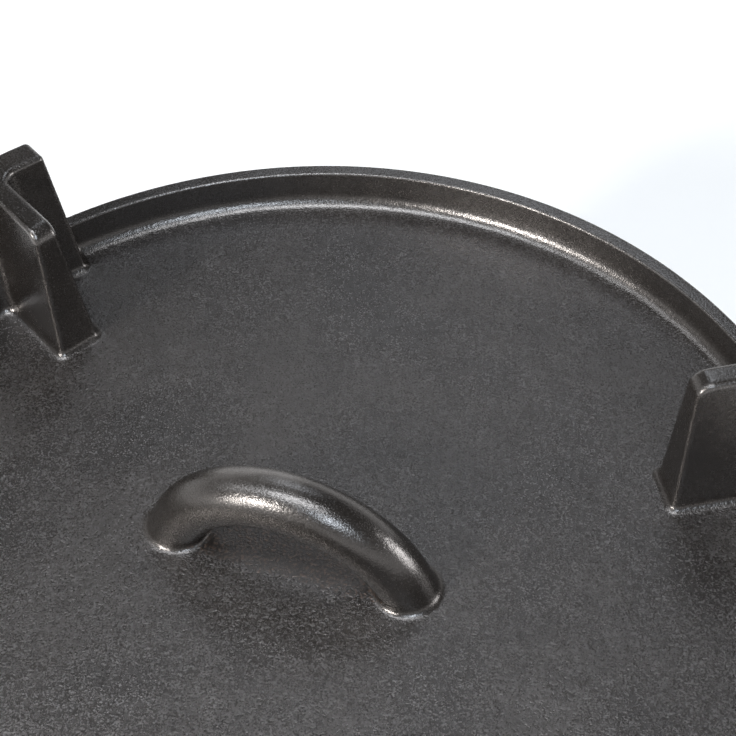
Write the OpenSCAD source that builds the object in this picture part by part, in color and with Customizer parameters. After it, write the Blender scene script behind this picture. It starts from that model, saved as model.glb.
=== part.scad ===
// Camp dutch oven: legged pot, lid with coal rim and feet, wire bail with a coil grip.
// Millimetres. Z is up, the ears lie on X, the ground is Z = 0 and the pot's axis is the Z axis.

/* [Lid] */
// Outer radius of the lid and of its coal rim
lid_r = 155; // [140:1:175]
// Thickness of the lid plate
lid_plate_t = 5.5; // [4.5:0.5:8]
// Height of the coal rim above the plate
coal_rim_h = 13; // [10:1:20]
// Thickness of the coal rim
coal_rim_t = 5; // [4:0.5:7]
// Radius of the hollow corner between plate and coal rim
coal_rim_fillet = 4; // [3:0.5:7]
// Radius on the top edges of the coal rim
coal_rim_edge = 1; // [0.5:0.1:1.8]
// Depth of the locating lip below the seat
lip_h = 5; // [3:0.5:8]
// Radial thickness of the locating lip
lip_t = 6; // [4:0.5:9]
// Gap between the lip and the mouth of the pot
lip_gap = 1.2; // [0.6:0.1:2]

/* [Lid feet] */
// Height of the feet above the lid plate
lid_foot_h = 49; // [44:1:58]
// Reach of a foot's web, inward from the outside of the rim, at the tip
lid_foot_reach = 41; // [32:1:50]
// Thickness of a foot's web at the tip
lid_foot_web_t = 7.4; // [6:0.2:10]
// Width of a foot's crossbar at the tip
lid_foot_bar_w = 37; // [30:1:44]
// Thickness of a foot's crossbar at the tip
lid_foot_bar_t = 10; // [8:0.5:12]
// Radius of the hollow at the root of the feet and of the handle
root_fillet = 3; // [2:0.5:5]
// Draft angle on the faces of the feet and legs
draft = 4; // [2:0.5:5]
// Radius on the tip edges of the feet and legs
tip_edge = 1.6; // [0.8:0.1:2.4]
// Radius on the inner top corner of a foot's web
web_corner = 5; // [3:0.5:8]

/* [Lid handle] */
// Distance between the two legs of the handle, on the plate
handle_span = 71; // [64:1:86]
// Height of the bar's middle line above the plate
handle_rise = 26; // [24:1:30]
// Diameter of the handle bar
handle_bar_d = 17; // [13:0.5:19]

/* [Pot] */
// Depth from the mouth to the floor inside
pot_depth = 106; // [90:1:130]
// Thickness of the wall
wall_t = 4.5; // [4:0.5:7]
// Thickness of the floor
floor_t = 5; // [4:0.5:8]
// Narrowing of the tub from mouth to floor, on the radius
tub_taper = 15; // [8:1:22]
// Radius of the corner between wall and floor, inside
tub_corner = 22; // [14:1:30]
// Width of the seat that carries the lid
seat_w = 11; // [9:0.5:14]
// Height of the flange's outer edge
flange_t = 6; // [4:0.5:9]
// Overhang of the lid past the flange
lid_overhang = 3; // [2:0.5:5]

/* [Pot legs] */
// Height of the legs, ground to floor
leg_h = 40; // [32:1:52]
// Radius over the legs on the ground, less than the tub's own
leg_inset = 8; // [5:0.5:14]
// Reach of a leg's web, inward from the outside of the leg, on the ground
leg_reach = 32; // [24:1:40]
// Thickness of a leg's web on the ground
leg_web_t = 8; // [6:0.5:11]
// Width of a leg's crossbar on the ground
leg_bar_w = 28; // [22:1:36]
// Thickness of a leg's crossbar on the ground
leg_bar_t = 9; // [7:0.5:12]
// Radius on the inner corner of a leg's web on the ground
leg_corner = 4; // [3:0.5:7]

/* [Ears and bail] */
// Gap between the lid's edge and an ear, seen from above
ear_gap = 5; // [3:0.5:9]
// Thickness of an ear
ear_t = 8; // [6:0.5:11]
// Radius of an ear round its hole
ear_r = 14; // [12:0.5:18]
// Widening of an ear towards its web, on each side
ear_flare = 1; // [0.5:0.25:2]
// Drop of the bail's axis below the seat
pivot_drop = 19; // [17:0.5:24]
// Drop of an ear's web below the seat
web_drop = 2; // [1.5:0.5:4]
// Diameter of the bail wire
bail_d = 8; // [6:0.5:10]
// Play of the bail wire in an ear's hole, on the radius
bail_play = 0.4; // [0.3:0.1:0.8]
// Gap between an ear and the bend or the head of the bail's pin
bail_side_gap = 1; // [0.5:0.1:2]
// Bend radius where a leg turns into its pin
pin_bend = 8; // [6:0.5:14]
// Diameter of the upset head on a pin
pin_head_d = 13; // [11:0.5:16]
// Thickness of the upset head on a pin
pin_head_t = 3; // [2:0.5:4]
// Radius of the bail's shoulders
shoulder_r = 98; // [80:1:110]
// Thinning of the wire in its bends, on the radius
bend_thin = 0.02; // [0.01:0.01:0.05]
// Clearance between the grip and the lid's feet as the bail swings over them
swing_gap = 6; // [4:0.5:14]
// Gap between the ground and the grip with the bail folded down
fold_gap = 0.3; // [0.2:0.1:1]

/* [Coil grip] */
// Diameter of the coil's wire
coil_wire_d = 4; // [3:0.2:4.6]
// Radius of the coil's middle line
coil_r = 9; // [8.2:0.1:11]
// Rise of the coil in one turn
coil_pitch = 7; // [6:0.2:9]
// Number of turns
coil_turns = 14; // [8:1:15]
// Turns over which each end narrows on to the bail
coil_neck = 1.5; // [1:0.25:3]
// Gap between the narrow end turns and the bail
coil_seat = 0.3; // [0.2:0.1:0.6]

/* [Hidden] */
$fn = 96;
eps = 0.01;
// Hollow corners are this much over size, so that they cut the straight runs that they blend.
over_round = 1.0025;
// Round edges are this much under size, so that a narrow flat is left where they blend.
under_round = 0.97;
root_bite = root_fillet / 10;
foot_angles = [30, 150, 270];
leg_angles = [90, 210, 330];

floor_z = leg_h + floor_t;
seat_z = floor_z + pot_depth;
plate_z = seat_z + lid_plate_t;
foot_top_z = plate_z + lid_foot_h;
pivot_z = seat_z - pivot_drop;

flange_r = lid_r - lid_overhang;
mouth_r = flange_r - seat_w;
floor_r = mouth_r - tub_taper;
leg_r = floor_r + wall_t - leg_inset;
leg_root = tub_corner + wall_t;

handle_arc_r = (pow(handle_span / 2, 2) + pow(handle_rise, 2)) / (2 * handle_rise);
handle_centre_z = plate_z + handle_rise - handle_arc_r;
handle_end_a = asin((handle_arc_r - handle_rise - lid_plate_t / 2) / handle_arc_r);

ear_x = lid_r + ear_gap;
web_top_z = seat_z - web_drop;
web_t = pivot_drop - web_drop - pin_head_d / 2 - bail_side_gap - bail_play;
bail_x = ear_x + ear_t + bail_side_gap + pin_bend;
grip_r = coil_r + coil_wire_d / 2;
swing_r = norm([lid_r, foot_top_z - pivot_z]);
bail_reach = swing_r + grip_r + swing_gap;
fold_a = asin((pivot_z - grip_r - fold_gap) / bail_reach);
shoulder_x = bail_x - shoulder_r;
shoulder_s = bail_reach - shoulder_r;
bend_lap = 0.5;

coil_sides = 6;
coil_rings = 8;
coil_end_r = (bail_d / 2 + coil_seat + coil_wire_d / 2) / cos(180 / coil_rings);
coil_steps = coil_turns * coil_rings;

// Outline of the hollow at a root, beside a face on the Y axis that stands on the X axis.
module root_outline() {
  side = root_fillet - root_bite;
  difference() {
    translate([-root_bite * 2, -root_bite * 2])
      square(side + root_bite * 2);
    translate([side, side])
      circle(root_fillet);
  }
}

// Outline of a drafted bar, narrow at the top, with round top corners. It stands in a plate up to height sunk.
module drafted_outline(top_w, h, sunk) {
  half = top_w / 2;
  foot = half + h * tan(draft);
  cx = half + tip_edge * tan(draft) - tip_edge / cos(draft);
  tx = cx + tip_edge * cos(draft);
  tz = h - tip_edge + tip_edge * sin(draft);
  polygon([[-foot, 0], [foot, 0], [tx, tz], [cx, h], [-cx, h], [-tx, tz]]);
  for (side = [-1, 1])
    translate([side * cx, h - tip_edge])
      circle(tip_edge * under_round);
  if (sunk > 0)
    for (side = [0, 180])
      rotate([0, side, 0])
        translate([half + (h - sunk) * tan(draft), sunk])
          root_outline();
}

// Outline of a web in its own plane, open past its ends: inner face drafted, inner top corner round.
module web_outline(inner, outer, h, corner, sunk) {
  cx = inner - corner * tan(draft) + corner / cos(draft);
  tx = cx - corner * cos(draft);
  tz = h - corner + corner * sin(draft);
  past = h - tz;
  polygon([
    [inner - (h + past) * tan(draft), -past],
    [outer, -past],
    [outer, h + past],
    [2 * cx - tx, h + past],
    [tx, tz]
  ]);
  translate([cx, h - corner])
    circle(corner * under_round);
  if (sunk > 0)
    translate([inner - (h - sunk) * tan(draft), sunk])
      rotate([0, 180, 0])
        root_outline();
}

// Outline of a crossbar across its length, open past its ends: inner face drafted, outer top edge cut back.
module bar_outline(inner, outer, h) {
  polygon([
    [inner - (h + tip_edge) * tan(draft), -tip_edge],
    [outer, -tip_edge],
    [outer, h - tip_edge],
    [outer - 2 * tip_edge, h + tip_edge],
    [inner + tip_edge * tan(draft), h + tip_edge]
  ]);
}

// T-shaped foot standing on Z = 0 and pointing along +X, its crossbar flush with radius r.
module t_foot(r, h, reach, web_w, bar_w, bar_t, corner, sunk = 0) {
  intersection() {
    rotate([90, 0, 90])
      linear_extrude(r)
        drafted_outline(web_w, h, sunk);
    rotate([90, 0, 0])
      linear_extrude(bar_w, center = true)
        web_outline(r - reach, r - bar_t / 2, h, corner, sunk);
  }
  intersection() {
    rotate([90, 0, 90])
      linear_extrude(2 * r)
        drafted_outline(bar_w, h, 0);
    rotate([0, 0, 180])
      rotate_extrude()
        bar_outline(r - bar_t, r, h);
  }
}

// Half outline of a tub, closed at the axis, with a round corner at its floor.
module tub_outline(floor_rad, top_rad, z0, z1, corner) {
  lean = atan((top_rad - floor_rad) / (z1 - z0));
  cz = z0 + corner;
  cx = floor_rad + corner * tan(lean) - corner / cos(lean);
  tx = cx + corner * cos(lean);
  tz = cz - corner * sin(lean);
  polygon([[0, z0], [cx, z0], [tx, tz], [top_rad, z1], [0, z1]]);
  translate([cx, cz])
    circle(corner * over_round);
}

// Seat flange, its underside sloped back to the wall.
module flange_outline() {
  wall = mouth_r + wall_t / 2;
  slope = flange_r - wall;
  polygon([
    [wall, seat_z],
    [flange_r, seat_z],
    [flange_r, seat_z - flange_t],
    [wall, seat_z - flange_t - slope]
  ]);
}

// Outline of an ear seen along X: round below the hole, a little wider at its web.
module ear_outline() {
  rise = web_top_z - pivot_z;
  circle(ear_r);
  polygon([[-ear_r + ear_flare, 0], [ear_r - ear_flare, 0], [ear_r + ear_flare, rise], [-ear_r - ear_flare, rise]]);
}

// Ear: a web out from under the flange and a plate that hangs from it, bored for the bail.
module ear() {
  half = ear_r + ear_flare;
  difference() {
    union() {
      translate([mouth_r, -half, web_top_z - web_t])
        cube([ear_x + ear_t / 2 - mouth_r, 2 * half, web_t]);
      translate([ear_x, 0, pivot_z])
        rotate([90, 0, 90])
          linear_extrude(ear_t)
            ear_outline();
    }
    translate([ear_x - ear_t, 0, pivot_z])
      rotate([0, 90, 0])
        cylinder(h = 3 * ear_t, r = bail_d / 2 + bail_play);
  }
}

// Tub with flange, three legs and two ears, in one casting.
module pot() {
  color([0.12, 0.115, 0.11])
    difference() {
      union() {
        rotate_extrude()
          tub_outline(floor_r + wall_t, mouth_r + wall_t, leg_h, seat_z, tub_corner + wall_t);
        rotate_extrude()
          flange_outline();
        for (a = leg_angles)
          rotate([0, 0, a])
            translate([0, 0, leg_h + leg_root])
              mirror([0, 0, 1])
                t_foot(leg_r, leg_h + leg_root, leg_reach, leg_web_t, leg_bar_w, leg_bar_t, leg_corner);
        for (a = [0, 180])
          rotate([0, 0, a])
            ear();
      }
      rotate_extrude()
        tub_outline(floor_r, mouth_r + tub_taper / pot_depth, floor_z, seat_z + 1, tub_corner);
    }
}

// Half outline of the lid: plate, coal rim with its hollow corner, and locating lip.
module lid_outline() {
  rim_in = lid_r - coal_rim_t;
  rim_top = plate_z + coal_rim_h;
  edge = coal_rim_edge;
  lip_out = mouth_r - lip_gap - lip_h * tub_taper / pot_depth;
  translate([0, seat_z])
    square([lid_r, lid_plate_t]);
  translate([rim_in, seat_z])
    square([coal_rim_t, rim_top - edge - seat_z]);
  translate([rim_in + edge, rim_top - edge - eps])
    square([coal_rim_t - 2 * edge, edge + eps]);
  for (x = [rim_in + edge, lid_r - edge])
    translate([x, rim_top - edge])
      circle(edge);
  difference() {
    translate([rim_in - coal_rim_fillet, plate_z - eps])
      square([coal_rim_fillet + eps, coal_rim_fillet + eps]);
    translate([rim_in - coal_rim_fillet, plate_z + coal_rim_fillet])
      circle(coal_rim_fillet);
  }
  translate([lip_out - lip_t, seat_z - lip_h])
    square([lip_t, lip_h + eps]);
}

// Arched bar, both ends sunk in the plate, with a hollow round each root.
module lid_handle() {
  lean = asin((handle_arc_r - handle_rise) / handle_arc_r);
  translate([0, 0, handle_centre_z])
    rotate([90, 0, 0])
      rotate([0, 0, handle_end_a])
        rotate_extrude(angle = 180 - 2 * handle_end_a)
          translate([handle_arc_r, 0])
            circle(d = handle_bar_d);
  for (side = [-1, 1])
    translate([side * handle_span / 2, 0, plate_z])
      rotate([0, -side * lean, 0])
        rotate_extrude()
          translate([handle_bar_d / 2, 0])
            root_outline();
}

// Plate with coal rim, lip, three feet and handle, in one casting.
module lid() {
  color([0.16, 0.155, 0.155]) {
    rotate_extrude()
      lid_outline();
    for (a = foot_angles)
      rotate([0, 0, a])
        translate([0, 0, seat_z + lid_plate_t / 2])
          t_foot(
            lid_r, lid_foot_h + lid_plate_t / 2, lid_foot_reach,
            lid_foot_web_t, lid_foot_bar_w, lid_foot_bar_t, web_corner, lid_plate_t / 2
          );
    lid_handle();
  }
}

// Quarter bend from +X round to +Y, its ends let into the straight runs.
module bend(r) {
  rotate([0, 0, -bend_lap])
    rotate_extrude(angle = 90 + 2 * bend_lap)
      translate([r, 0])
        circle(bail_d / 2 - bend_thin);
}

// One side of the bail in its own plane, arms along +Y: pin with head, bend, leg and shoulder.
module bail_side() {
  pin_x = ear_x - bail_side_gap - pin_head_t;
  translate([pin_x, 0, 0])
    rotate([0, 90, 0])
      cylinder(h = pin_head_t, d = pin_head_d);
  translate([pin_x, 0, 0])
    rotate([0, 90, 0])
      cylinder(h = bail_x - pin_bend - pin_x, d = bail_d);
  translate([bail_x - pin_bend, pin_bend, 0])
    rotate([0, 0, -90])
      bend(pin_bend);
  translate([bail_x, pin_bend, 0])
    rotate([-90, 0, 0])
      cylinder(h = shoulder_s - pin_bend, d = bail_d);
  translate([shoulder_x, shoulder_s, 0])
    bend(shoulder_r);
}

// Puts the bail's plane on its axis, folded down to the front.
module folded() {
  translate([0, 0, pivot_z])
    rotate([180 + fold_a, 0, 0])
      children();
}

module bail() {
  color([0.3, 0.3, 0.31])
    folded() {
      bail_side();
      mirror([1, 0, 0])
        bail_side();
      translate([-shoulder_x, bail_reach, 0])
        rotate([0, 90, 0])
          cylinder(h = 2 * shoulder_x, d = bail_d);
    }
}

// Middle line of the coil, narrowing on to the bail at both ends, which run straight.
function coil_ease(u) = let (t = min(max(u, 0), 1)) t * t * (3 - 2 * t);
function coil_rad(k) =
  let (turn = k / coil_rings)
  coil_end_r + (coil_r - coil_end_r) * coil_ease(min(turn, coil_turns - turn) / coil_neck);
function coil_at(k) = let (a = 360 * k / coil_rings, r = coil_rad(k)) [
  coil_pitch * (k / coil_rings - coil_turns / 2),
  r * cos(a),
  r * sin(a)
];
function coil_tail(k, step) =
  let (p = coil_at(k), q = coil_at(k + step), d = [p[0] - q[0], 0, p[2] - q[2]])
  p + d * coil_wire_d / norm(d);
coil_line = concat(
  [coil_tail(0, 1)],
  [for (k = [0:coil_steps]) coil_at(k)],
  [coil_tail(coil_steps, -1)]
);
coil_last = len(coil_line) - 1;

// Ring of the tube's corners about one point of the middle line.
function coil_ring(i) = let (
  way = coil_line[min(i + 1, coil_last)] - coil_line[max(i - 1, 0)],
  t = way / norm(way),
  p = coil_line[i],
  out = [0, p[1], p[2]],
  flat = out - t * (out * t),
  n = flat / norm(flat),
  b = cross(t, n)
) [for (j = [0:coil_sides - 1]) let (a = 360 * j / coil_sides) p + (n * cos(a) + b * sin(a)) * coil_wire_d / 2];

// Least gap of the coil to itself, between points more than half a turn apart.
coil_gap = min([
  for (i = [0:coil_last])
    for (j = [i + coil_rings / 2 + 1:1:coil_last])
      norm(coil_line[i] - coil_line[j])
]) - coil_wire_d;
echo("least gap of the coil to itself", coil_gap);

module bail_grip() {
  rings = coil_last + 1;
  points = [for (i = [0:coil_last]) each coil_ring(i)];
  walls = [
    for (i = [0:coil_last - 1])
      for (j = [0:coil_sides - 1])
        let (a = i * coil_sides + j, b = i * coil_sides + (j + 1) % coil_sides)
          each [[a, a + coil_sides, b], [b, a + coil_sides, b + coil_sides]]
  ];
  first = [for (j = [1:coil_sides - 2]) [0, j, j + 1]];
  last = [for (j = [1:coil_sides - 2]) let (o = (rings - 1) * coil_sides) [o, o + j + 1, o + j]];
  color([0.55, 0.55, 0.56])
    folded()
      translate([0, bail_reach, 0])
        polyhedron(points = points, faces = concat(walls, first, last));
}

pot();
lid();
bail();
bail_grip();
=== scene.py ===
import math

import bmesh
import bpy
import numpy as np
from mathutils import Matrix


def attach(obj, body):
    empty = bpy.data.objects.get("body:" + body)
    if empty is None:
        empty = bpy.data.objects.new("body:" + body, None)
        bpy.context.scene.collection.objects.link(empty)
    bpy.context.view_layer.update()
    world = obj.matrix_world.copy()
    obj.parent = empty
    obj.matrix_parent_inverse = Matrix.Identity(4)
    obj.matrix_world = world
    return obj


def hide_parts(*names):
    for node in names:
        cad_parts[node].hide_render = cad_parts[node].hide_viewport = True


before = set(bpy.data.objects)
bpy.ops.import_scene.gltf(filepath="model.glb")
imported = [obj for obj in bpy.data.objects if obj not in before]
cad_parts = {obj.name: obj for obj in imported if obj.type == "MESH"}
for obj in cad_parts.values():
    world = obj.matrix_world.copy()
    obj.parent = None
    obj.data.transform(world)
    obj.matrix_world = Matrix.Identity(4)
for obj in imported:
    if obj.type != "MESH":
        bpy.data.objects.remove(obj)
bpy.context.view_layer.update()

import openvdb
from mathutils import Matrix, Vector

# Sizes in millimetres, in the frame of the part's source: Z is up, the ground is Z = 0, the ears lie on X.
# A name's EDGE is the radius of a round edge, its ROOT that of a hollow corner, and its SUNK says how far a
# form reaches into the casting that carries it.
MM = 0.001

# Heights
FLOOR_OUT = 40.0
FLOOR_IN = FLOOR_OUT + 5
SEAT_Z = FLOOR_IN + 106
PLATE_Z = SEAT_Z + 5.5
RIM_TOP = PLATE_Z + 13
FOOT_TOP = PLATE_Z + 49
PIVOT_Z = SEAT_Z - 19

# Feet and legs: the draft of their faces, and the hollow between web and crossbar
DRAFT = math.tan(math.radians(4))
EDGE, BAR_ROOT = 1.6, 4.5

# Lid plate and coal rim
LID_R = 155.0
RIM_IN, RIM_ROOT, RIM_EDGE = LID_R - 5, 5.5, 1.0

# Lid feet: a web that points inward and a crossbar along the rim
FOOT_TIP, WEB_T, WEB_EDGE = LID_R - 41, 7.4, 5.0
BAR_W, BAR_T = 37.0, 10.0
FOOT_ROOT, FOOT_SUNK = 2.6, 3.0
FOOT_ANGLES = (30, 150, 270)

# Lid handle: an upright arc of round bar
HANDLE_SPAN, HANDLE_RISE, HANDLE_R = 71.0, 26.0, 8.5
HANDLE_ROOT, HANDLE_SUNK = 2.2, 3.5
HANDLE_ARC = ((HANDLE_SPAN / 2) ** 2 + HANDLE_RISE**2) / (2 * HANDLE_RISE)
HANDLE_Z = PLATE_Z + HANDLE_RISE - HANDLE_ARC
HANDLE_TOP = PLATE_Z + HANDLE_RISE + HANDLE_R

# Pot: a leaning wall, a round corner and a flange that flares at 45 degrees
FLANGE_R, FLANGE_Z = LID_R - 3, SEAT_Z - 6
FLANGE_EDGE, FLANGE_ROOT = 1.5, 5.0
MOUTH_R, MOUTH_EDGE = FLANGE_R - 11, 1.0
FLANGE_IN = MOUTH_R - 2
TAPER, WALL_T = 15.0, 4.5
TUB_IN = MOUTH_R - TAPER
TUB_OUT = TUB_IN + WALL_T
CORNER_IN = 22.0
CORNER_OUT = CORNER_IN + WALL_T
LEAN_OUT, LEAN_IN = TAPER / (SEAT_Z - FLOOR_OUT), TAPER / (SEAT_Z - FLOOR_IN)

# Lip under the lid, which finds the pot's mouth
LIP_H, LIP_T, LIP_GAP = 5.0, 6.0, 1.2
LIP_OUT = MOUTH_R - LIP_GAP - LIP_H * LEAN_IN
LIP_IN = LIP_OUT - LIP_T
LIP_Z = SEAT_Z - LIP_H
LIP_EDGE, LIP_ROOT, LIP_SUNK = 1.0, 2.0, 2.0

# Pot legs, of the feet's form
LEG_R = TUB_OUT - 8
LEG_TIP, LEG_WEB_T, LEG_WEB_EDGE = LEG_R - 32, 8.0, 4.0
LEG_BAR_W, LEG_BAR_T, LEG_ROOT = 28.0, 9.0, 4.0
LEG_TOP = FLOOR_OUT + CORNER_OUT - 4
LEG_ANGLES = (90, 210, 330)

# Bail wire, and its pins with an upset head on the pot's side of each ear
BAIL_R = 4.0
PIN_BEND, PIN_HEAD_R, PIN_HEAD_T = 8.0, 6.5, 3.0
PIN_PLAY, SIDE_GAP = 0.4, 1.0

# Pot ears: a hanging plate with a hole, on a level web that clears the pin's head
EAR_X, EAR_T, EAR_R, EAR_FLARE = LID_R + 5, 8.0, 14.0, 1.0
EAR_HOLE = BAIL_R + PIN_PLAY
EAR_TOP = SEAT_Z - 2
EAR_WEB_T = EAR_TOP - PIVOT_Z - PIN_HEAD_R - SIDE_GAP - PIN_PLAY
EAR_EDGE, EAR_HOLE_EDGE, EAR_ROOT = 1.2, 0.8, 2.5

# Coil grip: wide turns that narrow on to the bail within some turns of each end
COIL_WIRE, COIL_R, COIL_PITCH, COIL_TURNS, COIL_NECK = 4.0, 9.0, 7.0, 14, 1.5
COIL_GAP, COIL_EDGE = 0.4, 0.4
COIL_END_R = BAIL_R + COIL_GAP + COIL_WIRE / 2
GRIP_R = COIL_R + COIL_WIRE / 2

# Bail: it is long enough to swing over the lid's feet, and lies folded to the front
PIN_X = EAR_X - SIDE_GAP - PIN_HEAD_T
BAIL_X = EAR_X + EAR_T + SIDE_GAP + PIN_BEND
SHOULDER_R, SWING_GAP, FOLD_GAP = 98.0, 6.0, 0.3
BAIL_REACH = math.hypot(LID_R, FOOT_TOP - PIVOT_Z) + GRIP_R + SWING_GAP
FOLD = math.pi + math.asin((PIVOT_Z - GRIP_R - FOLD_GAP) / BAIL_REACH)

# Boxes that clear each added form with its hollow root, as low and high corners, and the pitch of its mesh
FOOT_BOX = (FOOT_TIP - 16, -30, PLATE_Z - 4), (LID_R + 2, 30, FOOT_TOP + 2)
HANDLE_REACH = HANDLE_SPAN / 2 + 20.5
HANDLE_BOX = (-HANDLE_REACH, -18, PLATE_Z - 4), (HANDLE_REACH, 18, HANDLE_TOP + 2)
LEG_BOX = (LEG_TIP - 8.5, -26, -2), (TUB_OUT + 3.5, 26, LEG_TOP + 7.5)
EAR_BOX = (MOUTH_R - 3, -22, PIVOT_Z - 20), (EAR_X + EAR_T + 3, 22, SEAT_Z + 1)
FOOT_PITCH, HANDLE_PITCH, LEG_PITCH, EAR_PITCH = 0.85, 0.75, 1.05, 0.75

# Distances from a corner at which a turned profile has points, near a sharp corner and near a soft one
SHARP_STEPS = np.array([0, 0.35, 0.7, 1.1, 1.6, 2.2, 3, 4, 5.2, 6.6, 8.5, 11, 14, 18, 24, 32, 48, 70, 100])
SOFT_STEPS = np.array([0, 2.4, 4.8, 7.2, 10, 13, 18, 24, 32, 48, 70, 100])
LATHE_SEGMENTS = 256

# A profile has no steps below the first length, and a casting's mesh no edges below the second
LEAST_STEP, LEAST_EDGE = 0.05, 0.0003


# Castings: signed distance fields, negative inside, with round edges and hollow corners


def both(a, b, radius):
    """Where a and b overlap, with its outer edge rounded."""
    corner = np.hypot(np.maximum(a + radius, 0), np.maximum(b + radius, 0))
    return np.minimum(np.maximum(a, b), -radius) + corner


def join(a, b, radius):
    """a and b as one, with the inner corner between them filled to a hollow."""
    corner = np.hypot(np.maximum(radius - a, 0), np.maximum(radius - b, 0))
    return np.maximum(np.minimum(a, b), radius) - corner


def turned(x, y, angle):
    """x and y in axes turned by that angle about Z, in degrees."""
    c, s = math.cos(math.radians(angle)), math.sin(math.radians(angle))
    return x * c + y * s, y * c - x * s


def lid_disc(r, z):
    """Plate, coal rim and lip, running on past the lid's outside."""
    tray = both(r - RIM_IN, PLATE_Z - z, RIM_ROOT)
    disc = both(np.maximum(SEAT_Z - z, z - RIM_TOP), -tray, RIM_EDGE)
    lip = both(np.maximum(LIP_IN - r, r - LIP_OUT), LIP_Z - z, LIP_EDGE)
    return join(disc, np.maximum(lip, z - SEAT_Z - LIP_SUNK), LIP_ROOT)


def lid_turning(r, z):
    """The lid's turned body, in its profile."""
    return both(lid_disc(r, z), r - LID_R, RIM_EDGE)


def lid_foot(x, y, r, z):
    """A foot that points along X."""
    rise = (FOOT_TOP - z) * DRAFT
    web = np.maximum(np.abs(y) - WEB_T / 2 - rise, x - LID_R + BAR_T / 2)
    bar = both(np.abs(y) - BAR_W / 2 - rise, LID_R - BAR_T - rise - r, EDGE)
    tip = both(FOOT_TIP - rise - x, z - FOOT_TOP, WEB_EDGE)
    foot = both(join(web, bar, BAR_ROOT), tip, EDGE)
    return np.maximum(foot, PLATE_Z - FOOT_SUNK - z)


def lid_field(x, y, z):
    """The whole lid."""
    r = np.hypot(x, y)
    solid = lid_disc(r, z)
    for angle in FOOT_ANGLES:
        solid = join(solid, lid_foot(*turned(x, y, angle), r, z), FOOT_ROOT)
    handle = np.hypot(np.hypot(x, z - HANDLE_Z) - HANDLE_ARC, y) - HANDLE_R
    solid = join(solid, np.maximum(handle, PLATE_Z - HANDLE_SUNK - z), HANDLE_ROOT)
    return both(solid, r - LID_R, RIM_EDGE)


def tub(r, z):
    """The pot's outside, filled."""
    wall = (r - TUB_OUT - (z - FLOOR_OUT) * LEAN_OUT) * math.cos(math.atan(LEAN_OUT))
    slope = (r - z - FLANGE_R + FLANGE_Z) * math.sqrt(0.5)
    flange = np.maximum(both(r - FLANGE_R, slope, FLANGE_EDGE), FLANGE_IN - r)
    return join(both(wall, FLOOR_OUT - z, CORNER_OUT), flange, FLANGE_ROOT)


def hollow(r, z, solid):
    """A filled pot, cut off at the seat and hollowed out."""
    wall = (r - TUB_IN - (z - FLOOR_IN) * LEAN_IN) * math.cos(math.atan(LEAN_IN))
    cavity = both(wall, FLOOR_IN - z, CORNER_IN)
    return both(both(solid, z - SEAT_Z, MOUTH_EDGE), -cavity, MOUTH_EDGE)


def pot_turning(r, z):
    """The pot's turned body, in its profile."""
    return hollow(r, z, tub(r, z))


def pot_leg(x, y, r, z):
    """A leg that points along X."""
    rise = z * DRAFT
    web = np.maximum(np.abs(y) - LEG_WEB_T / 2 - rise, x - LEG_R + LEG_BAR_T / 2)
    depth = np.maximum(LEG_R - LEG_BAR_T - rise - r, r - LEG_R)
    bar = both(np.abs(y) - LEG_BAR_W / 2 - rise, depth, EDGE)
    tip = both(LEG_TIP - rise - x, -z, LEG_WEB_EDGE)
    leg = both(join(web, bar, BAR_ROOT), tip, EDGE)
    return np.maximum(leg, z - LEG_TOP)


def pot_ear(x, y, z):
    """The ear on +X, and its hole."""
    drop = z - PIVOT_Z
    flare = np.clip(drop / (EAR_TOP - PIVOT_Z), 0, 1) * EAR_FLARE
    plate = both(np.hypot(y, np.minimum(drop, 0)) - EAR_R - flare, z - EAR_TOP, EAR_EDGE)
    plate = both(plate, np.abs(x - EAR_X - EAR_T / 2) - EAR_T / 2, EAR_EDGE)
    level = np.abs(z - EAR_TOP + EAR_WEB_T / 2) - EAR_WEB_T / 2
    web = both(np.abs(y) - EAR_R - EAR_FLARE, level, EAR_EDGE)
    web = np.maximum(web, np.maximum(MOUTH_R - x, x - EAR_X - EAR_T / 2))
    return np.minimum(web, plate), np.hypot(y, drop) - EAR_HOLE


def pot_field(x, y, z):
    """The whole pot."""
    r = np.hypot(x, y)
    solid = tub(r, z)
    for angle in LEG_ANGLES:
        solid = join(solid, pot_leg(*turned(x, y, angle), r, z), LEG_ROOT)
    for side in (0, 180):
        ear, hole = pot_ear(*turned(x, y, side), z)
        solid = join(solid, both(ear, -hole, EAR_HOLE_EDGE), EAR_ROOT)
    return hollow(r, z, solid)


# Meshes


def slope_of(field, points, step=0.02):
    """The field's gradient at points, one row each."""
    grad = np.empty_like(points)
    for axis in range(points.shape[1]):
        shift = np.zeros(points.shape[1])
        shift[axis] = step
        ahead, behind = (points + shift).T, (points - shift).T
        grad[:, axis] = (field(*ahead) - field(*behind)) / (2 * step)
    return grad


def settle(field, points, rounds, least_steepness=0.05):
    """Moves points on to the field's surface."""
    for _ in range(rounds):
        grad = slope_of(field, points)
        steepness = np.maximum((grad**2).sum(1), least_steepness)
        points = points - grad * (field(*points.T) / steepness)[:, None]
    return points


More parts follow.
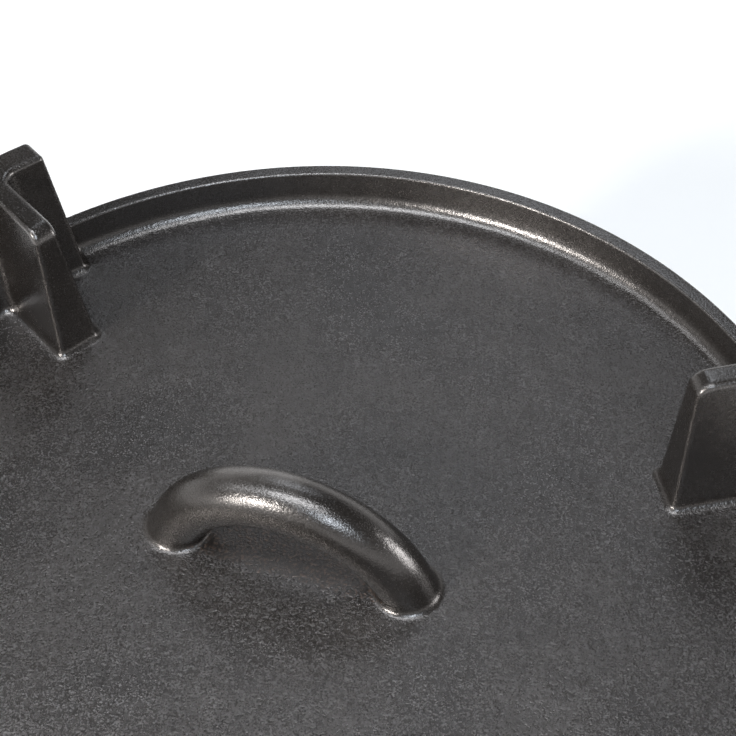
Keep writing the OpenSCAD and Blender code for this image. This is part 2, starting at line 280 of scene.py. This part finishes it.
def outline(field, corners):
    """A turned profile: the straight runs between corners, drawn on to the field's surface.

    Points stand close together near a corner, and wide apart near one that is marked as soft."""
    points = []
    for a, b in zip(corners, corners[1:]):
        start, end = (SOFT_STEPS if len(corner) > 2 else SHARP_STEPS for corner in (a, b))
        a, b = np.array(a[:2], float), np.array(b[:2], float)
        length = np.linalg.norm(b - a)
        near_half = 0.48 * length
        start, end = start[start < near_half], end[end < near_half]
        along = np.concatenate([start, [length / 2], length - end[:0:-1]])
        points.append(a + (b - a) * (along / length)[:, None])
    points = np.concatenate(points + [[corners[-1][:2]]])
    on_axis = points[:, 0] < 1e-6
    points = settle(field, points, rounds=12)
    points[on_axis, 0] = 0
    gaps = np.linalg.norm(np.diff(points, axis=0), axis=1)
    return points[np.concatenate([[True], gaps > LEAST_STEP])]


def lathe(profile):
    """Turns a profile that starts and ends on the axis."""
    turn = np.arange(LATHE_SEGMENTS) * 2 * math.pi / LATHE_SEGMENTS
    ring = np.stack([np.cos(turn), np.sin(turn)], 1)
    middle = profile[1:-1]
    verts = [(0, 0, profile[0][1])]
    for r, z in middle:
        verts += [(r * c, r * s, z) for c, s in ring]
    verts.append((0, 0, profile[-1][1]))
    last = len(verts) - 1
    faces = []
    for j in range(LATHE_SEGMENTS):
        k = (j + 1) % LATHE_SEGMENTS
        faces.append((0, 1 + k, 1 + j))
        for i in range(len(middle) - 1):
            a, b = 1 + i * LATHE_SEGMENTS, 1 + (i + 1) * LATHE_SEGMENTS
            faces.append((a + j, a + k, b + k, b + j))
        faces.append((last, last - LATHE_SEGMENTS + j, last - LATHE_SEGMENTS + k))
    return verts, faces


def graft(field, skin, low, high, pitch, depth=2.0, shy=0.02):
    """What a field adds to its turned body inside a box, with a layer of the body under it to join it by.

    The layer is that depth thick, and the graft stays shy of the field, so that no two faces coincide."""
    low, high = np.array(low, float), np.array(high, float)
    count = np.ceil((high - low) / pitch).astype(int) + 1
    axes = [(low[i] + np.arange(count[i]) * pitch).astype(np.float32) for i in range(3)]
    x, y, z = np.meshgrid(*axes, indexing="ij")

    def piece(x, y, z):
        return np.maximum(field(x, y, z) + shy, -depth - skin(np.hypot(x, y), z))

    values = piece(x, y, z)
    for axis in range(3):
        values[tuple(slice(None) if i != axis else [0, -1] for i in range(3))] = pitch
    band = 3 * pitch
    grid = openvdb.FloatGrid(band)
    grid.copyFromArray(np.clip(values, -band, band).astype(np.float32))
    points, quads = grid.convertToQuads(0.0)
    points = low + np.asarray(points, float) * pitch
    near_wall = ((points < low + 2 * pitch) | (points > high - 2 * pitch)).any(1)
    points[~near_wall] = settle(piece, points[~near_wall], rounds=1)
    return points, np.asarray(quads).tolist()


def rotated(points, angle):
    """Points turned about Z by that angle in degrees."""
    c, s = math.cos(math.radians(angle)), math.sin(math.radians(angle))
    return points @ np.array([[c, s, 0], [-s, c, 0], [0, 0, 1]])


def new_mesh(name, verts, faces):
    mesh = bpy.data.meshes.new(name)
    mesh.from_pydata((np.asarray(verts) * MM).tolist(), [], faces)
    mesh.validate()
    obj = bpy.data.objects.new(name, mesh)
    bpy.context.scene.collection.objects.link(obj)
    return obj


def face_out(obj):
    """Turns a closed mesh's faces outward."""
    mesh = obj.data
    mesh.calc_loop_triangles()
    co = np.array([v.co for v in mesh.vertices])
    tri = np.array([t.vertices for t in mesh.loop_triangles])
    a, b, c = co[tri[:, 0]], co[tri[:, 1]], co[tri[:, 2]]
    if (a * np.cross(b, c)).sum() < 0:
        mesh.flip_normals()


def casting(name, field, turning, skin, corners, grafts):
    """One closed mesh: the turned body with its grafts, shaded by the field's own slope.

    A graft is its box, its mesh's pitch and the angles about Z at which it stands."""
    body = new_mesh(name, *lathe(outline(turning, corners)))
    face_out(body)
    tools = []
    for box, pitch, angles in grafts:

        def local(x, y, z):
            return field(*turned(x, y, -angles[0]), z)

        points, quads = graft(local, skin, *box, pitch)
        for angle in angles:
            tool = new_mesh(name + "_graft", rotated(points, angle), quads)
            face_out(tool)
            tools.append(tool)
            weld = body.modifiers.new("graft", "BOOLEAN")
            weld.operation = "UNION"
            weld.solver = "MANIFOLD"
            weld.object = tool
    graph = bpy.context.evaluated_depsgraph_get()
    mesh = bpy.data.meshes.new_from_object(body.evaluated_get(graph))
    body.modifiers.clear()
    shape = bmesh.new()
    shape.from_mesh(mesh)
    bmesh.ops.dissolve_degenerate(shape, edges=shape.edges, dist=LEAST_EDGE * MM)
    bmesh.ops.triangulate(shape, faces=shape.faces)
    shape.to_mesh(mesh)
    shape.free()
    body.data = mesh
    mesh.name = name
    mesh.materials.clear()
    for tool in tools:
        bpy.data.objects.remove(tool)
    co = np.array([v.co for v in mesh.vertices]) / MM
    normals = slope_of(field, co, step=0.05)
    normals /= np.maximum(np.linalg.norm(normals, axis=1), 1e-6)[:, None]
    mesh.shade_smooth()
    mesh.normals_split_custom_set_from_vertices(normals.tolist())
    return body


lid = casting(
    "lid_casting",
    lid_field,
    lid_turning,
    lid_turning,
    [
        (0, SEAT_Z),
        (LIP_IN, SEAT_Z),
        (LIP_IN, LIP_Z),
        (LIP_OUT, LIP_Z),
        (LIP_OUT, SEAT_Z),
        (LID_R, SEAT_Z),
        (LID_R, RIM_TOP),
        (RIM_IN, RIM_TOP),
        (RIM_IN, PLATE_Z),
        (0, PLATE_Z),
    ],
    [(FOOT_BOX, FOOT_PITCH, FOOT_ANGLES), (HANDLE_BOX, HANDLE_PITCH, (0,))],
)
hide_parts("lid")
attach(lid, "lid")


def tub_corner(floor, wall, lean, radius):
    """Soft points of the round corner between a floor and a wall that leans out from it."""
    tilt = math.atan(lean)
    r = wall + radius * lean - radius / math.cos(tilt)
    z = floor + radius
    angles = (-math.pi / 2, -math.pi / 4, -tilt)
    return [(r + radius * math.cos(a), z + radius * math.sin(a), "soft") for a in angles]


flare = FLANGE_R - FLANGE_Z
flare_z = (TUB_OUT - FLOOR_OUT * LEAN_OUT - flare) / (1 - LEAN_OUT)

pot = casting(
    "pot_casting",
    pot_field,
    pot_turning,
    tub,
    [
        (0, FLOOR_OUT, "soft"),
        *tub_corner(FLOOR_OUT, TUB_OUT, LEAN_OUT, CORNER_OUT),
        (flare_z + flare, flare_z),
        (FLANGE_R, FLANGE_Z),
        (FLANGE_R, SEAT_Z),
        (MOUTH_R, SEAT_Z),
        *tub_corner(FLOOR_IN, TUB_IN, LEAN_IN, CORNER_IN)[::-1],
        (0, FLOOR_IN, "soft"),
    ],
    [(LEG_BOX, LEG_PITCH, LEG_ANGLES), (EAR_BOX, EAR_PITCH, (0, 180))],
)
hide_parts("pot")
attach(pot, "pot")


# Bail and grip: wires, drawn in the bail's own plane, with Y along its arms, and then folded to the front


def folded(points):
    """Points of the bail's plane, turned about its pins and put at their height."""
    x, y, z = points.T
    c, s = math.cos(FOLD), math.sin(FOLD)
    return np.stack([x, y * c - z * s, PIVOT_Z + y * s + z * c], 1)


def tube(name, line, radii, sides):
    """A round wire along a line, with a radius at each point and flat ends."""
    line = np.asarray(line, float)
    ahead = np.gradient(line, axis=0)
    ahead /= np.linalg.norm(ahead, axis=1)[:, None]
    askew = (0.3, 0.2, 0.93)
    across = np.cross(ahead[0], askew)
    rings = []
    turn = np.arange(sides) * 2 * math.pi / sides
    for point, way, radius in zip(line, ahead, radii):
        across = across - way * (across @ way)
        across /= np.linalg.norm(across)
        side = np.cross(way, across)
        rings.append(point + radius * (np.outer(np.cos(turn), across) + np.outer(np.sin(turn), side)))
    faces = []
    for i in range(len(line) - 1):
        for j in range(sides):
            k = (j + 1) % sides
            a, b = i * sides, (i + 1) * sides
            faces.append((a + j, a + k, b + k, b + j))
    last = (len(line) - 1) * sides
    faces.append(tuple(range(sides - 1, -1, -1)))
    faces.append(tuple(range(last, last + sides)))
    obj = new_mesh(name, folded(np.concatenate(rings)), faces)
    face_out(obj)
    obj.data.shade_smooth()
    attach(obj, "bail")
    return obj


def bend(middle, radius, start, end, count):
    """Points of an arc in the bail's plane, between two angles in degrees."""
    x, y = middle
    turn = np.radians(np.linspace(start, end, count))
    return [(x + radius * math.cos(a), y + radius * math.sin(a), 0) for a in turn]


def bail_side():
    """Points and radii from the middle of the grip bar to the head of one pin."""
    shoulder_x, shoulder_y = BAIL_X - SHOULDER_R, BAIL_REACH - SHOULDER_R
    bar = [(x, BAIL_REACH, 0) for x in np.linspace(0, shoulder_x - 2, 12)]
    shoulder = bend((shoulder_x, shoulder_y), SHOULDER_R, 90, 0, 25)
    arm = [(BAIL_X, y, 0) for y in np.linspace(shoulder_y - 2, PIN_BEND + 1, 12)]
    knee = bend((BAIL_X - PIN_BEND, PIN_BEND), PIN_BEND, 0, -90, 13)
    points = bar + shoulder + arm + knee
    radii = [BAIL_R] * len(points)
    neck = PIN_X + PIN_HEAD_T
    pin = [
        (neck + 3, BAIL_R),
        (neck + 0.5, BAIL_R),
        (neck + 0.15, BAIL_R + 0.2),
        (neck, BAIL_R + 0.6),
        (neck - 0.02, PIN_HEAD_R - 0.7),
        (neck - 0.25, PIN_HEAD_R - 0.15),
        (neck - 0.7, PIN_HEAD_R),
        (PIN_X + 1.2, PIN_HEAD_R),
        (PIN_X + 0.6, PIN_HEAD_R - 0.25),
        (PIN_X + 0.2, PIN_HEAD_R - 0.8),
        (PIN_X, PIN_HEAD_R - 1.8),
    ]
    points += [(x, 0, 0) for x, _ in pin]
    radii += [radius for _, radius in pin]
    return points, radii


half, half_r = bail_side()
mirrored = [(-x, y, z) for x, y, z in half[:0:-1]]
bail = tube("bail_wire_rod", mirrored + half, half_r[:0:-1] + half_r, sides=24)
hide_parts("bail")


def coil_line(rings=28):
    """The grip's wire: wide turns that close on to the bar at both ends, which run straight."""
    turn = np.arange(COIL_TURNS * rings + 1) / rings
    ease = np.clip(np.minimum(turn, COIL_TURNS - turn) / COIL_NECK, 0, 1)
    radius = COIL_END_R + (COIL_R - COIL_END_R) * ease**2 * (3 - 2 * ease)
    angle = 2 * math.pi * turn
    along = COIL_PITCH * (turn - COIL_TURNS / 2)
    points = np.stack([along, BAIL_REACH + radius * np.cos(angle), radius * np.sin(angle)], 1)
    first, last = points[0] - points[1], points[-1] - points[-2]
    first[1] = last[1] = 0
    first, last = first / np.linalg.norm(first), last / np.linalg.norm(last)
    tails = np.array([COIL_WIRE, COIL_WIRE - COIL_EDGE, COIL_WIRE / 2])[:, None]
    return np.concatenate([points[0] + first * tails, points, points[-1] + last * tails[::-1]])


coil = coil_line()
coil_radii = np.full(len(coil), COIL_WIRE / 2)
coil_radii[[0, -1]] -= COIL_EDGE
grip = tube("bail_grip_coil", coil, coil_radii, sides=12)
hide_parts("bail_grip")


# Materials

IRON = (0.0058, 0.0049, 0.0042), (0.014, 0.0117, 0.0101)
# Pale specks painted into the plate's colour as painted highlights of the grain's sparkle
PAINTED_GLINTS = (0.08, 0.077, 0.078), (0.16, 0.157, 0.161)
# Rust brown of the sand-cored skin under the handle, running down to near black as painted shade under the
# handle
RUST_AND_PAINTED_SHADE = (0.001, 0.0007, 0.0005), (0.05, 0.03, 0.02)
# A paler grey painted on the back of the handle's top as a reflection of the bright surround
PAINTED_CREST_REFLECTION = (0.1, 0.092, 0.087), (0.12, 0.112, 0.107)
IRON_SHEEN = (1.0, 0.95, 0.93, 1.0)
BAIL_STEEL = (0.20, 0.195, 0.19), (0.34, 0.335, 0.33)
GRIP_STEEL = (0.46, 0.455, 0.45), (0.6, 0.6, 0.595)
PALE = (0.93, 0.93, 0.93), (0.96, 0.96, 0.96)

# The range that most of a noise lies in
BULK = (0.3, 0.7)

# The plate under the handle, with rough sand-cored skin and painted shade, and the back of the handle's
# crest, with a painted reflection, as a middle and half sizes
CORE_AND_SHADE_BOX = (0.0, 0.0, PLATE_Z), (33.0, 7.0, 1.5)
CREST_BOX = (-9.0, 4.5, HANDLE_TOP - 1), (13.0, 4.0, 5.0)


class Shader:
    """A Principled material whose nodes are added one by one, over the object's own axes, in metres."""

    def __init__(self, name):
        self.mat = bpy.data.materials.new(name)
        self.mat.use_nodes = True
        self.tree = self.mat.node_tree
        self.bsdf = self.tree.nodes["Principled BSDF"]
        self.coords = self.tree.nodes.new("ShaderNodeTexCoord").outputs["Object"]

    def set(self, node, values):
        """Links or sets a node's inputs."""
        for key, value in values.items():
            if isinstance(value, bpy.types.NodeSocket):
                self.tree.links.new(value, node.inputs[key])
            else:
                node.inputs[key].default_value = value

    def noise(self, size, detail):
        """Noise with features of about that size in millimetres."""
        node = self.tree.nodes.new("ShaderNodeTexNoise")
        self.set(node, {"Vector": self.coords, "Scale": 1 / (size * MM), "Detail": detail})
        return node.outputs["Fac"]

    def span(self, value, source, target):
        """A value carried from one range over to another, and held at its ends."""
        node = self.tree.nodes.new("ShaderNodeMapRange")
        self.set(node, {"Value": value, "From Min": source[0], "From Max": source[1]})
        self.set(node, {"To Min": target[0], "To Max": target[1]})
        return node.outputs["Result"]

    def math(self, operation, *values):
        node = self.tree.nodes.new("ShaderNodeMath")
        node.operation = operation
        self.set(node, dict(enumerate(values)))
        return node.outputs["Value"]

    def weigh(self, first, *others):
        """The sum of values, each given with its weight."""
        total = self.math("MULTIPLY", *first)
        for part in others:
            total = self.math("ADD", total, self.math("MULTIPLY", *part))
        return total

    def mix(self, factor, a, b):
        """One colour turning into another."""
        node = self.tree.nodes.new("ShaderNodeMix")
        node.data_type = "RGBA"
        for key, value in ((0, factor), (6, a), (7, b)):
            self.tree.links.new(value, node.inputs[key])
        return node.outputs[2]

    def axis(self, name):
        apart = self.tree.nodes.new("ShaderNodeSeparateXYZ")
        self.tree.links.new(self.coords, apart.inputs["Vector"])
        return apart.outputs[name]

    def box_mask(self, box, soft, ragged):
        """1 inside a box, given as a middle and half sizes, and 0 outside, with a soft and ragged edge."""
        mask = None
        stray = self.span(self.noise(2.2, 2), BULK, (-ragged * MM, ragged * MM))
        for axis, middle, reach in zip("XYZ", *box):
            level = self.math("ABSOLUTE", self.math("SUBTRACT", self.axis(axis), middle * MM))
            level = self.math("ADD", level, stray)
            part = self.span(level, ((reach - soft) * MM, (reach + soft) * MM), (1.0, 0.0))
            mask = part if mask is None else self.math("MULTIPLY", mask, part)
        return mask

    def ramp(self, value, source, colors):
        """A value turned into a colour between two."""
        node = self.tree.nodes.new("ShaderNodeValToRGB")
        self.tree.links.new(value, node.inputs["Fac"])
        for element, at, color in zip(node.color_ramp.elements, source, colors):
            element.position = at
            element.color = (*color, 1)
        return node.outputs["Color"]

    def bump(self, height, depth, strength, normal=None):
        """Bumps whose height runs over that depth in millimetres."""
        node = self.tree.nodes.new("ShaderNodeBump")
        self.set(node, {"Height": height, "Distance": depth * MM, "Strength": strength})
        if normal:
            self.tree.links.new(normal, node.inputs["Normal"])
        return node.outputs["Normal"]


def cast_iron(name, shine, ior, core_and_shade=None, crest=None, smooth_from=None):
    """Seasoned sand-cast iron: brown black, finely grained, with cloudy patches of oil.

    The first box, under the handle, marks where sand cores left the skin rough and brown; its colour is
    also darkened there as painted shade under the handle. The second box, at the back of the handle's top,
    is painted paler as a painted reflection of the bright surround. smooth_from is the height above which
    the skin is smoother. All sizes are in millimetres."""
    s = Shader(name)
    unit = (0.0, 1.0)
    patch, cloud = s.noise(38, 4), s.noise(9, 3)
    grain, sand, fine = s.noise(0.55, 2), s.noise(1.4, 2), s.noise(0.3, 1)
    color = s.ramp(s.weigh((patch, 0.5), (cloud, 0.3), (grain, 0.2)), (0.36, 0.64), IRON)
    bare = 1.0
    if smooth_from:
        bare = s.span(s.axis("Z"), (smooth_from * MM, (smooth_from + 0.3) * MM), (1.0, 0.0))
    # Painted highlights: pale specks mixed into the base colour, mostly on the plate, standing in for the
    # grain's sparkle
    painted_glint = s.math("MULTIPLY", s.span(grain, (0.54, 0.72), (0.0, 0.5)), s.span(bare, unit, (0.15, 1.0)))
    color = s.mix(painted_glint, color, s.ramp(cloud, BULK, PAINTED_GLINTS))
    cloudy = s.span(patch, BULK, (shine - 0.04, shine + 0.05))
    rough = s.math("ADD", cloudy, s.span(grain, BULK, (-0.05, 0.07)))
    rough = s.math("ADD", rough, s.span(bare, unit, (-0.02, 0.0)))
    skin = s.span(bare, unit, (0.4, 1.0))
    normal = s.bump(s.noise(24, 2), 0.8, 0.6)
    for height, depth in ((sand, 0.12), (grain, 0.19), (fine, 0.09)):
        normal = s.bump(height, depth, skin, normal)
    if core_and_shade:
        # Under the handle: rust brown of the sand-cored skin, darkened further as painted shade under the
        # handle
        inside = s.box_mask(core_and_shade, soft=0.5, ragged=1.3)
        scab = s.noise(0.9, 3)
        color = s.mix(inside, color, s.ramp(scab, (0.5, 0.66), RUST_AND_PAINTED_SHADE))
        rough = s.math("ADD", rough, s.math("MULTIPLY", inside, 0.1))
        pits = s.math("MULTIPLY", s.math("SUBTRACT", scab, 0.5), inside)
        normal = s.bump(pits, 0.35, 0.7, normal)
    if crest:
        # Painted reflection: the back of the handle's top is made paler, where the bright surround would
        # reflect
        painted_reflection = s.math("MULTIPLY", s.box_mask(crest, soft=3.5, ragged=0.8), 0.75)
        color = s.mix(painted_reflection, color, s.ramp(cloud, BULK, PAINTED_CREST_REFLECTION))
    s.set(s.bsdf, {"Base Color": color, "Roughness": rough, "Normal": normal})
    s.set(s.bsdf, {"IOR": ior, "Specular Tint": IRON_SHEEN})
    return s.mat


def steel_wire(name, colors, shine):
    """Drawn wire: faint draw marks, thin oxide and handling smudges."""
    s = Shader(name)
    smudge, cloud, mark = s.noise(14, 3), s.noise(3, 3), s.noise(0.5, 2)
    color = s.ramp(s.weigh((smudge, 0.6), (cloud, 0.4)), (0.38, 0.62), colors)
    smudged = s.span(smudge, BULK, (shine - 0.06, shine + 0.08))
    rough = s.math("ADD", smudged, s.span(mark, BULK, (-0.03, 0.03)))
    normal = s.bump(mark, 0.03, 0.4, s.bump(cloud, 0.08, 0.3))
    s.set(s.bsdf, {"Base Color": color, "Roughness": rough, "Normal": normal, "Metallic": 1.0})
    return s.mat


lid_iron = cast_iron("lid_iron_skin", 0.26, 1.85, CORE_AND_SHADE_BOX, CREST_BOX, smooth_from=PLATE_Z + 0.03)
lid.data.materials.append(lid_iron)
pot.data.materials.append(cast_iron("pot_iron_skin", 0.34, 1.5))
bail.data.materials.append(steel_wire("bail_wire_skin", BAIL_STEEL, 0.38))
grip.data.materials.append(steel_wire("grip_wire_skin", GRIP_STEEL, 0.3))


# Stage: a pale floor that glows white far off, a white horizon, soft boxes and the photo's camera

# The floor's half size and height in millimetres, and the distances in metres over which its glow sets in
FLOOR_HALF, FLOOR_Z = 6000, -0.2
GLOW_NEAR, GLOW_FAR = 0.7, 1.8

# Sines of the elevations between which the surround dims, and how bright it stays above them
HORIZON_TOP, SKY_FROM, SKY_DIM = 0.18, 0.5, 0.07

# The camera's place and view in metres, and its lens and sensor in millimetres
CAMERA_PLACE = (0.12313, -0.22328, 0.5197)
CAMERA_FORWARD = (-0.26022, 0.61229, -0.74659)
CAMERA_ROLL = math.radians(-4.147)
CAMERA_LENS, CAMERA_SENSOR = 75.13, 36

floor_sides = ((-1, -1), (1, -1), (1, 1), (-1, 1))
floor_corners = [(x * FLOOR_HALF, y * FLOOR_HALF, FLOOR_Z) for x, y in floor_sides]
floor = new_mesh("floor", floor_corners, [(0, 1, 2, 3)])
pale = Shader("floor_pale")
away = pale.math("ADD", *[pale.math("MULTIPLY", pale.axis(axis), pale.axis(axis)) for axis in "XY"])
pale.set(
    pale.bsdf,
    {
        "Base Color": pale.ramp(pale.noise(900, 2), BULK, PALE),
        "Roughness": pale.span(pale.noise(40, 2), BULK, (0.82, 0.9)),
        "Normal": pale.bump(pale.noise(3, 2), 0.02, 0.1),
        "Emission Strength": pale.span(away, (GLOW_NEAR**2, GLOW_FAR**2), (0.0, 1.0)),
        "Emission Color": (1, 1, 1, 1),
    },
)
floor.data.materials.append(pale.mat)

world = bpy.data.worlds.new("surround")
bpy.context.scene.world = world
world.use_nodes = True
sky = world.node_tree
backdrop = sky.nodes["Background"]
toward = sky.nodes.new("ShaderNodeTexCoord")
height = sky.nodes.new("ShaderNodeSeparateXYZ")
fade = sky.nodes.new("ShaderNodeMapRange")
sky.links.new(toward.outputs["Generated"], height.inputs["Vector"])
sky.links.new(height.outputs["Z"], fade.inputs["Value"])
fade.inputs["From Min"].default_value = HORIZON_TOP
fade.inputs["From Max"].default_value = SKY_FROM
fade.inputs["To Min"].default_value = 1.0
fade.inputs["To Max"].default_value = SKY_DIM
backdrop.inputs["Color"].default_value = (1, 1, 1, 1)
sky.links.new(fade.outputs["Result"], backdrop.inputs["Strength"])


def soft_box(name, place, target, size, watts, color=(1, 1, 1)):
    """An area light, turned to a target and hidden from the camera, with lengths in metres."""
    light = bpy.data.lights.new(name, "AREA")
    light.shape = "RECTANGLE"
    light.size, light.size_y = size
    light.energy = watts
    light.color = color
    obj = bpy.data.objects.new(name, light)
    obj.location = place
    obj.rotation_euler = (Vector(target) - Vector(place)).to_track_quat("-Z", "Y").to_euler()
    obj.visible_camera = False
    bpy.context.scene.collection.objects.link(obj)


LID_MIDDLE = (0, 0, 0.15)
soft_box("top_box", (-0.2, -0.4, 2.0), (-0.2, -0.42, 0.15), (1.2, 0.5), 25, (0.92, 0.96, 1.0))
soft_box("left_box", (-1.3, -0.3, 1.55), LID_MIDDLE, (0.5, 0.45), 4.5, (0.94, 0.97, 1.0))
soft_box("back_box", (-0.28, 1.12, 1.5), (0.02, 0.055, 0.156), (0.55, 0.55), 3.2, (0.85, 0.92, 1.0))
soft_box("key_box", (-0.75, -1.25, 0.95), LID_MIDDLE, (0.28, 0.28), 30, (1.0, 0.97, 0.93))
soft_box("front_box", (0.6, -0.95, 1.4), LID_MIDDLE, (0.42, 0.34), 10, (0.8, 0.9, 1.0))
soft_box("side_card", (1.6, 0.5, 0.45), (0, 0, 0.18), (0.6, 0.6), 11)

camera = bpy.data.objects.new("camera", bpy.data.cameras.new("camera"))
bpy.context.scene.collection.objects.link(camera)
camera.data.lens, camera.data.sensor_width = CAMERA_LENS, CAMERA_SENSOR
camera.data.clip_start, camera.data.clip_end = 0.01, 50
forward = Vector(CAMERA_FORWARD).normalized()
level_right = forward.cross(Vector((0, 0, 1))).normalized()
level_up = level_right.cross(forward)
right = level_right * math.cos(CAMERA_ROLL) + level_up * math.sin(CAMERA_ROLL)
up = level_up * math.cos(CAMERA_ROLL) - level_right * math.sin(CAMERA_ROLL)
turn = Matrix((right, up, -forward)).transposed().to_4x4()
camera.matrix_world = Matrix.Translation(CAMERA_PLACE) @ turn
bpy.context.scene.camera = camera
bpy.context.scene.view_settings.view_transform = "Standard"
